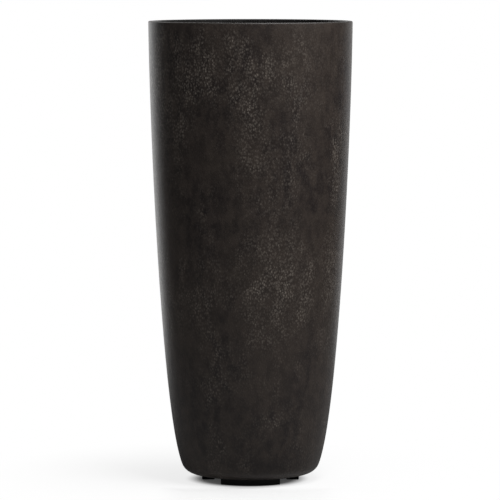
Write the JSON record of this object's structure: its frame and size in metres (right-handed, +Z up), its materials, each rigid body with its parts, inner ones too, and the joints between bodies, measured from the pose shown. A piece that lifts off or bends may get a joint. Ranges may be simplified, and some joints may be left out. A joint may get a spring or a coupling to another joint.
{
  "type": "tall round floor planter",
  "caption": "Tall round floor planter that tapers to a rounded heel, with a turned-in rim, arc feet under its floor and a lift-out drain stopper.",
  "frame": {"origin": "on the ground under the middle of the planter", "axes": "+Z up along the planter's axis, -Y towards its front, where one foot stands"},
  "size_m": [0.405, 0.405, 0.915],
  "materials": {
    "bronze_skin": "satin, pebbled like leather, with cloudy paler speckle",
    "coated_ply": "resin-coated ply",
    "grey_plastic": "satin moulding",
    "stopper_rubber": "matte",
    "foot_rubber": "matte",
    "screw_steel": "bright"
  },
  "bodies": {
    "planter": {"planter_shell": "bronze_skin", "floor_stiffener": "coated_ply", "drain_bushing": "grey_plastic", "foot_front": "foot_rubber", "foot_rear_right": "foot_rubber", "foot_rear_left": "foot_rubber", "foot_screw_front_1": "screw_steel", "foot_screw_front_2": "screw_steel", "foot_screw_rear_right_1": "screw_steel", "foot_screw_rear_right_2": "screw_steel", "foot_screw_rear_left_1": "screw_steel", "foot_screw_rear_left_2": "screw_steel"},
    "stopper": {"drain_stopper": "stopper_rubber"}
  },
  "joints": [
    {"name": "stopper_lift", "type": "slide", "parent": "planter", "child": "stopper", "axis": [0, 0, 1], "range_m": [0, 0.95]}
  ]
}
